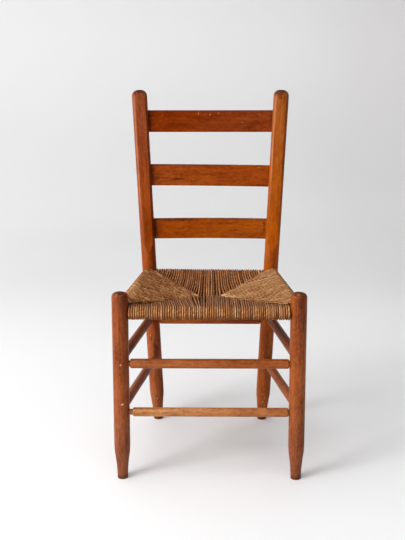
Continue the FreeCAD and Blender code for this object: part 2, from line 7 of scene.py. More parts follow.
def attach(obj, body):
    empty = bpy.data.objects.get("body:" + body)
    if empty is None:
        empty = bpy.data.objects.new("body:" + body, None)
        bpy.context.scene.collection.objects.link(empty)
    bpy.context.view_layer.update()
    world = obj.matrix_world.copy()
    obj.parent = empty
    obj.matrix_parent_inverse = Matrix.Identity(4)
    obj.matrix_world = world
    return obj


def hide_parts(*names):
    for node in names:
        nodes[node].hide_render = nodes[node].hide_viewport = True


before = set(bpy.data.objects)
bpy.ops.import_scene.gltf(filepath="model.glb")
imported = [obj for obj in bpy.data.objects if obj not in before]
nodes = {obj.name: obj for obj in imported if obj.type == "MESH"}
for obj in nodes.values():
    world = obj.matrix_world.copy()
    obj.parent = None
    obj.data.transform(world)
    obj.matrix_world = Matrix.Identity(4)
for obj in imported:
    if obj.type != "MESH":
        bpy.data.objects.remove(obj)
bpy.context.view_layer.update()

Y0 = 0.1944                       # front leg axis is at y = -Y0


# ------------------------------------------------------------------ camera
def make_camera():
    cam = bpy.data.cameras.new("camera")
    ob = bpy.data.objects.new("camera", cam)
    bpy.context.scene.collection.objects.link(ob)
    bpy.context.scene.camera = ob
    cam.sensor_fit = "AUTO"
    cam.sensor_width = 36.0
    cam.lens = 878.96 * 36.0 / 540.0
    cam.clip_start, cam.clip_end = 0.05, 60.0
    th, psi, roll = 0.248034, 0.014256, -0.001471
    c, s = math.cos(psi), math.sin(psi)
    pos = Vector((-c * 0.0152 + s * 1.92473, -s * 0.0152 - c * 1.92473 - Y0, 1.0008))
    right = Vector((c, s, 0.0))
    fwd = Vector((-s * math.cos(th), c * math.cos(th), -math.sin(th)))
    up = right.cross(fwd)
    r2 = right * math.cos(roll) + up * math.sin(roll)
    u2 = up * math.cos(roll) - right * math.sin(roll)
    m = Matrix.Identity(4)
    for i in range(3):
        m[i][0], m[i][1], m[i][2], m[i][3] = r2[i], u2[i], -fwd[i], pos[i]
    ob.matrix_world = m
    return ob


cam = make_camera()


# ------------------------------------------------------------------ node helpers
class Tree:
    """Short calls for building a material's nodes."""

    def __init__(self, name):
        self.mat = bpy.data.materials.new(name)
        self.mat.use_nodes = True
        self.t = self.mat.node_tree
        self.t.nodes.clear()
        self.out = self.t.nodes.new("ShaderNodeOutputMaterial")
        self.bsdf = self.t.nodes.new("ShaderNodeBsdfPrincipled")
        self.t.links.new(self.bsdf.outputs[0], self.out.inputs[0])

    def n(self, kind, **kw):
        nd = self.t.nodes.new("ShaderNode" + kind)
        for k, v in kw.items():
            setattr(nd, k, v)
        return nd

    def put(self, sock, v):
        if hasattr(v, "is_output") or isinstance(v, bpy.types.NodeSocket):
            self.t.links.new(v, sock)
        else:
            sock.default_value = v

    def math(self, op, a, b=0.0, c=0.0, clamp=False):
        nd = self.n("Math", operation=op, use_clamp=clamp)
        self.put(nd.inputs[0], a)
        self.put(nd.inputs[1], b)
        if len(nd.inputs) > 2:
            self.put(nd.inputs[2], c)
        return nd.outputs[0]

    def vmath(self, op, a, b=(0, 0, 0), scale=None):
        nd = self.n("VectorMath", operation=op)
        self.put(nd.inputs[0], a)
        if nd.inputs[1].enabled:
            self.put(nd.inputs[1], b)
        if scale is not None:
            self.put(nd.inputs[3], scale)
        return nd.outputs["Value"] if op in ("LENGTH", "DISTANCE", "DOT_PRODUCT") else nd.outputs[0]

    def mapping(self, vec, loc=(0, 0, 0), rot=(0, 0, 0), scale=(1, 1, 1)):
        nd = self.n("Mapping")
        self.put(nd.inputs["Vector"], vec)
        nd.inputs["Location"].default_value = loc
        nd.inputs["Rotation"].default_value = rot
        nd.inputs["Scale"].default_value = scale
        return nd.outputs[0]

    def noise(self, vec, scale, detail=2.0, rough=0.5, dist=0.0):
        nd = self.n("TexNoise")
        self.put(nd.inputs["Vector"], vec)
        nd.inputs["Scale"].default_value = scale
        nd.inputs["Detail"].default_value = detail
        nd.inputs["Roughness"].default_value = rough
        nd.inputs["Distortion"].default_value = dist
        return nd.outputs["Fac"]

    def voronoi(self, vec, scale, rand=1.0):
        nd = self.n("TexVoronoi")
        self.put(nd.inputs["Vector"], vec)
        nd.inputs["Scale"].default_value = scale
        nd.inputs["Randomness"].default_value = rand
        return nd

    def ramp(self, fac, stops, interp="LINEAR"):
        nd = self.n("ValToRGB")
        self.put(nd.inputs[0], fac)
        el = nd.color_ramp.elements
        nd.color_ramp.interpolation = interp
        while len(el) < len(stops):
            el.new(0.5)
        for e, (p, col) in zip(el, stops):
            e.position = p
            e.color = (*col, 1.0) if len(col) == 3 else col
        return nd.outputs[0]

    def maprange(self, v, a, b, c=0.0, d=1.0, smooth=True):
        nd = self.n("MapRange", clamp=True)
        nd.interpolation_type = "SMOOTHSTEP" if smooth else "LINEAR"
        self.put(nd.inputs[0], v)
        for i, x in enumerate((a, b, c, d)):
            nd.inputs[1 + i].default_value = x
        return nd.outputs[0]

    def mix(self, fac, a, b, blend="MIX"):
        nd = self.n("Mix", data_type="RGBA", blend_type=blend)
        self.put(nd.inputs[0], fac)
        self.put(nd.inputs[6], a if not isinstance(a, tuple) else (*a, 1.0))
        self.put(nd.inputs[7], b if not isinstance(b, tuple) else (*b, 1.0))
        return nd.outputs[2]

    def bump(self, height, strength, distance, normal=None):
        nd = self.n("Bump")
        nd.inputs["Strength"].default_value = strength
        nd.inputs["Distance"].default_value = distance
        self.put(nd.inputs["Height"], height)
        if normal is not None:
            self.put(nd.inputs["Normal"], normal)
        return nd.outputs[0]


def lin(r, g, b):
    """An sRGB 0-255 colour as linear values."""
    out = []
    for v in (r, g, b):
        v = v / 255.0
        out.append(v / 12.92 if v <= 0.04045 else ((v + 0.055) / 1.055) ** 2.4)
    return tuple(out)


# ------------------------------------------------------------------ varnished wood
# Stain colour of each piece as linear reflectance, at places in millimetres along it
# (height for uprights, x for slats and front rungs).
TINT = {
    "back_post_left": [(130, (0.2739, 0.071, 0.0207)), (530, (0.2666, 0.0441, 0.0014)), (838, (0.2326, 0.0506, 0.0161))],
    "back_post_right": [(130, (0.3098, 0.071, 0.0126)), (530, (0.3869, 0.0748, 0.0012)), (838, (0.3145, 0.0783, 0.0121))],
    "front_leg_left": [(60, (0.2228, 0.0608, 0.0216)), (240, (0.2513, 0.0562, 0.0111)), (420, (0.2408, 0.0507, 0.0088))],
    "front_leg_right": [(60, (0.2004, 0.0508, 0.0165)), (240, (0.2899, 0.0696, 0.013)), (420, (0.2433, 0.0532, 0.0076))],
    "top_slat": [(-99, (0.2168, 0.0283, 0.0012)), (101, (0.2019, 0.0337, 0.0049))],
    "middle_slat": [(-99, (0.3032, 0.0574, 0.006)), (101, (0.2592, 0.0433, 0.0026))],
    "bottom_slat": [(-99, (0.335, 0.0603, 0.0012)), (101, (0.3092, 0.0619, 0.0013))],
    "front_rung_upper": [(-100, (0.3198, 0.0887, 0.0237)), (100, (0.3047, 0.0746, 0.0144))],
    "front_rung_lower": [(-100, (0.4398, 0.1721, 0.0539)), (100, (0.3201, 0.0984, 0.0215))],
    "back_rung": [(-100, (0.3832, 0.0958, 0.0164)), (100, (0.2223, 0.0415, 0.0068))],
    "left_rung_upper": [(-1, (0.2086, 0.044, 0.0044))],
    "left_rung_lower": [(-1, (0.2668, 0.0793, 0.0291))],
    "right_rung_upper": [(-1, (0.1985, 0.047, 0.007))],
    "right_rung_lower": [(-1, (0.2717, 0.0649, 0.0126))],
}


def wood(node, axis=(0, 0, 1), seed=0.0, figure=0.0, fine=0.30, patch=0.62, streak=0.45, mottle=0.58,
         rough=0.36, coat=0.20, grime=(), pale=(), worn=(), specks=0.0, edges=0.0, arris=0.0, arris_from=0.44, tint=None):
    """Stained and varnished hardwood with its grain along axis.
    Marks on the piece are given as (centre in metres, reach as x, y, z, strength): dark ones are dirt and, at slat
    ends, beside the seat and at the feet, painted shade; pale ones are chips; rubbed pale ones are painted highlights
    with some wear."""
    T = Tree("wood_" + node)
    tc = T.n("TexCoord")
    obj = tc.outputs["Object"]
    sep = T.n("SeparateXYZ")
    T.put(sep.inputs[0], obj)
    zax = Vector(axis).normalized()
    q = zax.rotation_difference(Vector((0, 0, 1)))
    g = T.mapping(obj, rot=tuple(q.to_euler("XYZ")))
    g = T.mapping(g, loc=(seed * 1.7, seed * -2.3, seed * 3.1))
    patches = T.noise(T.mapping(g, scale=(1.0, 1.0, 0.30)), 48.0, 3.0, 0.55, 0.4)
    streaks = T.noise(T.mapping(g, scale=(1.0, 1.0, 0.055)), 170.0, 3.0, 0.55, 0.3)
    fibres = T.noise(T.mapping(g, scale=(1.0, 1.0, 0.022)), 420.0, 3.0, 0.6)
    pores = T.noise(T.mapping(g, scale=(1.0, 1.0, 0.035)), 900.0, 2.0, 0.6)
    mottles = T.noise(T.mapping(g, loc=(2.0, 7.0, 1.0), scale=(1.0, 1.0, 0.40)), 230.0, 3.0, 0.65, 0.3)
    wide = T.noise(g, 7.0, 2.0)

    def part(v, k):
        return T.math("MULTIPLY", T.math("SUBTRACT", v, 0.5), k)

    tone = T.math("ADD", 0.5, part(patches, patch * 2.0))
    tone = T.math("ADD", tone, part(streaks, streak * 2.0))
    tone = T.math("ADD", tone, part(fibres, fine * 2.0))
    tone = T.math("ADD", tone, part(mottles, mottle * 2.0))
    tone = T.math("ADD", tone, part(wide, 0.5))
    if figure > 0.0:
        wv = T.n("TexWave", wave_type="RINGS", rings_direction="Z", wave_profile="SAW")
        T.put(wv.inputs["Vector"], T.mapping(g, loc=(0.013, 0.31, 0.0), scale=(1.0, 1.0, 0.06)))
        wv.inputs["Scale"].default_value = 22.0
        wv.inputs["Distortion"].default_value = 3.2
        wv.inputs["Detail"].default_value = 2.0
        wv.inputs["Detail Scale"].default_value = 1.6
        tone = T.math("ADD", tone, part(wv.outputs["Fac"], figure))
    tone = T.maprange(tone, -0.1, 1.1, smooth=False)
    # half-scale so that every ramp value stays within 0 to 1
    ratio = T.ramp(tone, [(0.0, (0.25, 0.20, 0.16)), (0.5, (0.5, 0.5, 0.5)), (1.0, (0.72, 0.80, 0.90))])
    stops = tint or TINT[node]
    if len(stops) > 1:
        lo, hi = stops[0][0] / 1000.0, stops[-1][0] / 1000.0
        along = sep.outputs[2] if axis[2] else sep.outputs[0]
        f = T.maprange(along, lo, hi, smooth=False)
        base = T.ramp(f, [((pm - stops[0][0]) / (stops[-1][0] - stops[0][0]), c) for pm, c in stops])
    else:
        base = tuple(stops[0][1])
    col = T.vmath("SCALE", T.vmath("MULTIPLY", ratio, base), scale=2.0)
    # thin dark pores
    pm = T.maprange(pores, 0.30, 0.42, 1.0, 0.0)
    col = T.mix(T.math("MULTIPLY", pm, 0.30), col, lin(52, 18, 6))

    def spot(centre, reach, ragged=0.5):
        d = T.vmath("SUBTRACT", obj, tuple(centre))
        d = T.vmath("DIVIDE", d, tuple(reach))
        ln = T.vmath("LENGTH", d)
        ln = T.math("ADD", ln, T.math("MULTIPLY", T.math("SUBTRACT", T.noise(g, 130.0, 3.0), 0.5), ragged * 2.0))
        return T.maprange(ln, 0.45, 1.1, 1.0, 0.0)

    if edges > 0.0:
        # dirt and rubbed stain along a slat's upper and lower edge
        me = nodes[node].data
        co = np.empty(len(me.vertices) * 3, np.float32)
        me.vertices.foreach_get("co", co)
        co = co.reshape(-1, 3)
        rag = T.math("MULTIPLY", T.math("SUBTRACT", T.noise(g, 260.0, 3.0, 0.7), 0.5), 0.010)
        x2 = T.math("MULTIPLY", sep.outputs[0], sep.outputs[0])
        for pick, sgn, reach, k in ((np.max, 1.0, 0.0050, edges), (np.min, -1.0, 0.0040, edges * 0.9)):
            xs, zs = [], []
            for x0 in np.linspace(-0.15, 0.15, 13):
                m = np.abs(co[:, 0] - x0) < 0.0125
                if m.any():
                    xs.append(float(x0))
                    zs.append(float(pick(co[m, 2])))
            cf = np.polyfit(np.square(xs), zs, 1)
            line = T.math("ADD", T.math("MULTIPLY", x2, float(cf[0])), float(cf[1]))
            gap = T.math("MULTIPLY", T.math("SUBTRACT", line, sep.outputs[2]), sgn)
            gap = T.math("ADD", gap, rag)
            col = T.mix(T.math("MULTIPLY", T.maprange(gap, 0.0, reach, 1.0, 0.0), k), col, lin(64, 20, 8))
    if arris > 0.0:
        # painted highlight, with stain rubbed thin, along the upright's front left arris, above the seat
        me = nodes[node].data
        co = np.empty(len(me.vertices) * 3, np.float32)
        me.vertices.foreach_get("co", co)
        co = co.reshape(-1, 3).astype(float)
        zs, ps = [], []
        for e in me.edges:
            a, b = co[e.vertices[0]], co[e.vertices[1]]
            for z0 in (0.48, 0.56, 0.64, 0.72, 0.80, 0.86):
                if (a[2] - z0) * (b[2] - z0) < 0.0:
                    k_ = (z0 - a[2]) / (b[2] - a[2])
                    zs.append(z0)
                    ps.append(a[:2] + (b[:2] - a[:2]) * k_)
        zs, ps = np.array(zs), np.array(ps)
        line_z, line_p = [], []
        for z0 in sorted(set(zs.tolist())):
            q_ = ps[zs == z0]
            line_z.append(z0)
            line_p.append(q_[np.argmax(q_ @ np.array([-0.42, -0.91]))])
        line_p = np.array(line_p)
        cx = np.polyfit(line_z, line_p[:, 0], 2)
        cy = np.polyfit(line_z, line_p[:, 1], 2)
        z_ = sep.outputs[2]
        gaps = []
        for cf, o_ in ((cx, sep.outputs[0]), (cy, sep.outputs[1])):
            v_ = T.math("MULTIPLY_ADD", T.math("MULTIPLY_ADD", z_, float(cf[0]), float(cf[1])), z_, float(cf[2]))
            d_ = T.math("SUBTRACT", o_, v_)
            gaps.append(T.math("MULTIPLY", d_, d_))
        gap = T.math("SQRT", T.math("ADD", gaps[0], gaps[1]))
        gap = T.math("ADD", gap, T.math("MULTIPLY", T.math("SUBTRACT", T.noise(T.mapping(g, scale=(1, 1, 0.3)), 150.0, 3.0), 0.5), 0.004))
        k_ = T.math("MULTIPLY", T.maprange(gap, 0.0006, 0.0042, 1.0, 0.0), T.maprange(z_, arris_from, arris_from + 0.14, 0.15, 1.0))
        col = T.mix(T.math("MULTIPLY", k_, arris), col, lin(222, 158, 118))
    # dark marks: dirt, and painted shade at slat ends beside the posts, beside the seat and at the feet
    for centre, reach, k in grime:
        col = T.mix(T.math("MULTIPLY", spot(centre, reach), k), col, lin(44, 14, 8))
    # rubbed pale marks: painted highlights with some wear
    for centre, reach, k in worn:
        col = T.mix(T.math("MULTIPLY", spot(centre, reach, 0.8), k), col, lin(214, 160, 116))
    if specks > 0.0:
        v = T.voronoi(T.mapping(g, scale=(1.0, 1.0, 0.45)), 190.0)
        gate = T.maprange(T.noise(g, 41.0, 1.0), 0.57, 0.63)
        sp = T.math("MULTIPLY", T.maprange(v.outputs["Distance"], 0.09, 0.17, 1.0, 0.0), gate)
        col = T.mix(T.math("MULTIPLY", sp, specks), col, lin(214, 160, 112))
        v2 = T.voronoi(T.mapping(g, loc=(3.3, 1.2, 0.4), scale=(1.0, 1.0, 0.7)), 240.0)
        gate2 = T.maprange(T.noise(T.mapping(g, loc=(1.0, 5.0, 2.0)), 36.0, 1.0), 0.58, 0.64)
        sp2 = T.math("MULTIPLY", T.maprange(v2.outputs["Distance"], 0.10, 0.20, 1.0, 0.0), gate2)
        col = T.mix(T.math("MULTIPLY", sp2, specks * 0.9), col, lin(50, 16, 8))
    for centre, reach, k in pale:
        col = T.mix(T.math("MULTIPLY", spot(centre, reach, 0.3), k), col, lin(215, 195, 165))
    T.put(T.bsdf.inputs["Base Color"], col)
    rn = T.math("ADD", T.math("MULTIPLY", T.noise(g, 60.0, 3.0), 0.16), rough - 0.08)
    rn = T.math("ADD", rn, T.math("MULTIPLY", pm, 0.12))
    T.put(T.bsdf.inputs["Roughness"], rn)
    T.bsdf.inputs["Coat Weight"].default_value = coat
    T.bsdf.inputs["Specular IOR Level"].default_value = 0.03
    T.bsdf.inputs["Coat Roughness"].default_value = 0.20
    T.bsdf.inputs["IOR"].default_value = 1.5
    h = T.math("ADD", T.math("MULTIPLY", fibres, 0.5), T.math("MULTIPLY", pores, 0.5))
    nrm = T.bump(h, 0.22, 0.0006)
    dents = T.noise(T.mapping(g, scale=(1.0, 1.0, 0.35)), 34.0, 2.0)
    nrm = T.bump(dents, 0.35, 0.0016, nrm)
    nrm = T.bump(mottles, 0.25, 0.0007, nrm)
    T.put(T.bsdf.inputs["Normal"], nrm)
    return T.mat


def paint(node, mat):
    o = nodes[node]
    if not o.material_slots:
        o.data.materials.append(mat)
    for s in o.material_slots:
        s.material = mat


def P(x, y, z):
    """A point in millimetres, y measured back from the front leg axis, as metres in the row frame."""
    return (x / 1000.0, y / 1000.0 - Y0, z / 1000.0)


def stain(node, **kw):
    paint(node, wood(node, **kw))


# front legs: darker dome tops, dirt and painted shade on the right flank beside the seat, dirt and painted contact
# shade at the foot, and a painted highlight with some wear on the dome's front left shoulder
stain("front_leg_left", seed=1.1, specks=0.35, mottle=0.85, streak=0.5, coat=0.22,
      pale=[(P(-204.5, -19, 291.5), (0.0018, 0.004, 0.0020), 0.85), (P(-202.5, -19, 194.0), (0.0036, 0.004, 0.0021), 0.95)],
      grime=[(P(-203, 3, 464), (0.022, 0.028, 0.015), 0.75), (P(-196, -12, 440), (0.010, 0.03, 0.02), 0.35), (P(-207, 0, 2), (0.03, 0.03, 0.012), 0.6)],
      worn=[(P(-210, -11, 457), (0.004, 0.006, 0.003), 0.30)])
stain("front_leg_right", seed=2.3, specks=0.35, mottle=0.85, streak=0.5, coat=0.22,
      grime=[(P(206, 3, 464), (0.022, 0.028, 0.016), 0.75), (P(214, -12, 395), (0.008, 0.03, 0.03), 0.3), (P(208, -12, 440), (0.012, 0.03, 0.02), 0.4), (P(207, 0, 2), (0.03, 0.03, 0.012), 0.6)],
      worn=[(P(202, -12, 459), (0.005, 0.006, 0.004), 0.22)])
# back posts: darker dome tops and dark spots, dirt and painted contact shade at the foot, pale chips, and a painted
# highlight with stain rubbed thin along the front left arris
stain("back_post_left", axis=(-0.045, 0.045, 1), seed=3.7, specks=0.35, coat=0.10, arris=0.27,
      pale=[(P(-161, 334, 247), (0.0016, 0.006, 0.0020), 0.5), (P(-157, 334, 228), (0.0014, 0.006, 0.0030), 0.4), (P(-163, 334, 218), (0.0012, 0.006, 0.0018), 0.4),
            (P(-145, 334, 64), (0.0014, 0.006, 0.0020), 0.7)],
      grime=[(P(-146, 350, 2), (0.03, 0.03, 0.012), 0.6), (P(-181, 388, 906), (0.032, 0.050, 0.027), 0.85),
             (P(-147, 334, 203), (0.008, 0.02, 0.022), 0.6), (P(-150, 334, 225), (0.006, 0.02, 0.014), 0.35)])
stain("back_post_right", axis=(0.045, 0.045, 1), seed=4.9, specks=0.35, coat=0.10, arris=0.34, arris_from=0.60,
      pale=[(P(148, 334, 92), (0.0014, 0.006, 0.0018), 0.7), (P(145, 334, 78), (0.0014, 0.006, 0.0018), 0.7), (P(149, 334, 66), (0.0014, 0.006, 0.0018), 0.7),
            (P(145, 334, 54), (0.0016, 0.006, 0.0018), 0.7), (P(150, 334, 44), (0.0014, 0.006, 0.0018), 0.6)],
      grime=[(P(146, 350, 2), (0.03, 0.03, 0.012), 0.6), (P(182, 388, 907), (0.032, 0.050, 0.030), 0.92),
             (P(180, 374, 876), (0.007, 0.01, 0.006), 0.45), (P(150, 334, 225), (0.012, 0.02, 0.05), 0.3)])
# slats: dirt and painted shade at the ends beside the posts, stronger on the left where the post shades the slat; dark
# streaks, spots and edges; pale ticks
stain("top_slat", axis=(1, 0, 0), seed=5.2, figure=0.12, mottle=0.8, edges=0.45, specks=0.35,
      pale=[(P(-30.5, 385, 834), (0.0013, 0.02, 0.0050), 0.45), (P(-0.5, 385, 831), (0.0013, 0.02, 0.0045), 0.45), (P(21, 385, 835), (0.0013, 0.02, 0.004), 0.4),
            (P(84, 385, 811), (0.005, 0.02, 0.0014), 0.25)],
      grime=[(P(0, 380, 805), (0.070, 0.03, 0.05), 0.12), (P(-163, 380, 815), (0.012, 0.03, 0.05), 0.6), (P(164, 380, 815), (0.012, 0.03, 0.05), 0.35), (P(86, 385, 810), (0.008, 0.03, 0.0024), 0.25)])
stain("middle_slat", axis=(1, 0, 0), seed=6.4, figure=0.12, mottle=0.8, edges=0.45, specks=0.55,
      grime=[(P(-158, 372, 676), (0.012, 0.03, 0.05), 0.6), (P(158, 372, 676), (0.008, 0.03, 0.05), 0.35), (P(-86, 374, 665), (0.022, 0.03, 0.004), 0.5),
             (P(-140, 374, 668), (0.012, 0.03, 0.006), 0.35)])
stain("bottom_slat", axis=(1, 0, 0), seed=7.8, figure=0.12, mottle=0.8, edges=0.6, specks=0.45,
      grime=[(P(-151, 364, 536), (0.012, 0.03, 0.05), 0.75), (P(143, 364, 549), (0.0035, 0.03, 0.0035), 0.8), (P(143, 364, 541), (0.003, 0.03, 0.003), 0.7),
             (P(143.5, 364, 532), (0.003, 0.03, 0.003), 0.7), (P(-95, 366, 557), (0.05, 0.03, 0.004), 0.4), (P(-60, 366, 556), (0.03, 0.03, 0.003), 0.4)])
stain("front_rung_upper", axis=(1, 0, 0), seed=8.1, mottle=0.75, specks=0.3)
# lower front rung: a dark tenon end, and a painted highlight with some wear along the top front
stain("front_rung_lower", axis=(1, 0, 0), seed=21.5, patch=0.9, streak=0.8, mottle=1.0, specks=0.3, coat=0.45,
      grime=[(P(-184, 0, 168), (0.007, 0.03, 0.03), 0.30)],
      worn=[(P(-40, -7, 181), (0.130, 0.010, 0.0055), 0.38), (P(100, -7, 181), (0.060, 0.010, 0.005), 0.25)])
for nm, a, b, sd in (("left_rung_upper", (-205, 0, 296), (-157, 350, 302), 10.1), ("left_rung_lower", (-206, 0, 183), (-151, 350, 174), 11.3),
                     ("right_rung_upper", (205, 0, 302), (157, 350, 299), 12.7), ("right_rung_lower", (206, 0, 183), (151, 350, 172), 13.9)):
    ax = Vector(P(*b)) - Vector(P(*a))
    stain(nm, axis=tuple(ax), seed=sd, coat=0.05)
stain("back_rung", axis=(1, 0, 0), seed=14.2)
for nm, ax, sd in (("front_seat_rail", (1, 0, 0), 15.1), ("back_seat_rail", (1, 0, 0), 16.1),
                   ("left_seat_rail", (0.122, 1, 0), 17.1), ("right_seat_rail", (-0.122, 1, 0), 18.1)):
    stain(nm, axis=ax, seed=sd, coat=0.0, rough=0.55, tint=[(0, lin(140, 80, 42))])


def tack_material():
    T = Tree("tack_steel")
    tc = T.n("TexCoord")
    k = T.noise(tc.outputs["Object"], 600.0, 3.0)
    T.put(T.bsdf.inputs["Base Color"], T.ramp(k, [(0.35, lin(52, 50, 52)), (0.6, lin(84, 80, 78)), (0.72, lin(96, 62, 40))]))
    T.bsdf.inputs["Metallic"].default_value = 1.0
    T.put(T.bsdf.inputs["Roughness"], T.maprange(k, 0.3, 0.8, 0.35, 0.6))
    return T.mat


paint("rush_tacks", tack_material())

# ------------------------------------------------------------------ rush seat
ZT, ZL = 401.0, 379.0
POW = 1.25
HF, HB, DEP = 204.34, 161.2, 350.0           # half spacing of the leg axes at the seat, front and back
AX, AY = 27.0, 190.0                          # bridge
RAIL_Z = {"front": 411.5, "back": 411.1, "left": 418.5, "right": 417.5}
ROLL = {"front": 16.0, "back": 16.0, "left": 16.0, "right": 17.5}
DMAX = {"front": 190.0, "back": 160.0, "left": 153.0, "right": 153.0}
SPLIT = -9.5                                  # gap between two cords of the front section


def smooth_noise(n, knots, amp, r):
    """A smooth random line of n samples."""
    k = max(4, int(knots) + 3)
    y = r.normal(0.0, 1.0, k)
    x = np.linspace(0, k - 1.001, n)
    i = np.clip(x.astype(int), 0, k - 2)
    f = x - i
    f = f * f * (3 - 2 * f)
    return amp * (y[i] * (1 - f) + y[i + 1] * f)


def step01(v):
    v = min(max(v, 0.0), 1.0)
    return v * v * (3 - 2 * v)


def layer_z(side, d, top):
    """Height of a cord's centre on the top or bottom layer at distance d from the rail."""
    zr, RO, u = RAIL_Z[side], ROLL[side], min(max(d / DMAX[side], 0.0), 1.0)
    if top:
        return zr + (ZT - zr) + (RO - (ZT - zr)) * (1 - u) ** POW - 2.5
    return zr + (ZL - zr) + (-RO - (ZL - zr)) * (1 - u) ** POW + 2.5


def seam_reach(side, along):
    """Distance from the rail to the seam at a place along the rail."""
    if side == "front":
        return min(AY, (HF - abs(along)) * AY / (HF - AX))
    if side == "back":
        return min(DEP - AY, (HB - abs(along)) * (DEP - AY) / (HB - AX))
    xr = HF - (HF - HB) * along / DEP
    if along <= AY:
        xs = HF - along * (HF - AX) / AY
    else:
        xs = AX + (along - AY) * (HB - AX) / (DEP - AY)
    return xr - xs


def drift(side, c, d, run):
    """Sideways lean of a top cord, in mm along its rail, at distance d in from the rail."""
    d = max(d, 0.0)
    if side == "front":
        if c < SPLIT:
            w = step01((SPLIT - c) / 24.0)
            return -(0.007 + 0.093 * w) * d
        return 0.012 * d * step01((c - 60.0) / 80.0) + 0.6 * min(d / 20.0, 1.0) * math.exp(-(c - SPLIT) / 6.0)
    if side == "back":
        w = step01(abs(c) / 34.0)
        tail = max(0.0, d - (run - 58.0)) / 58.0
        s = 1.0 if c > 0 else -1.0
        return s * (0.035 * w * d + (4.6 if abs(c) > 26.0 else 1.6 * w) * tail * tail)
    f = d / max(run, 1.0)
    return -(c - AY) * 0.07 * f * f


def top_run(side, c):
    """How far in a top cord reaches before it meets the seam."""
    run = seam_reach(side, c)
    for _ in range(12):
        at = c + drift(side, c, run, run)
        run = 0.5 * run + 0.5 * seam_reach(side, at)
    return max(run, 6.0)


def cord_path(side, c, run, low_run, over, drop=5.5, reach=7.0):
    """Centre line of one cord: underside, round the rail, and the top, as (inward, height) pairs.
    The cord dives at both ends, where it passes under or between the cords of the next section."""
    zr, RC = RAIL_Z[side], ROLL[side] - 2.55
    k = 1.0 if side in ("front", "back") else 1.0 / math.cos(math.atan2(HF - HB, DEP))
    low_end, top_end = low_run + over, run + over
    dl = np.linspace(low_end, 0.0, max(3, int(round(low_end / 4.2))) + 1)
    dt = np.linspace(0.0, top_end, max(3, int(round(top_end / 2.0))) + 1)
    low = np.array([(d, layer_z(side, d / k, False)) for d in dl])
    m = 15
    th = np.linspace(-math.pi / 2, -3 * math.pi / 2, m + 1)[1:-1]
    arc = np.array([(RC * k * math.cos(t), zr + RC * math.sin(t)) for t in th])
    top = np.array([(d, layer_z(side, d / k, True)) for d in dt])
    for arr, end, sgn in ((top, top_end, -1.0), (low, low_end, 1.0)):
        q = np.clip((arr[:, 0] - (end - reach)) / reach, 0, 1)
        arr[:, 1] += sgn * drop * q * q
    return np.vstack([low, arc, top]), len(low), len(arc)


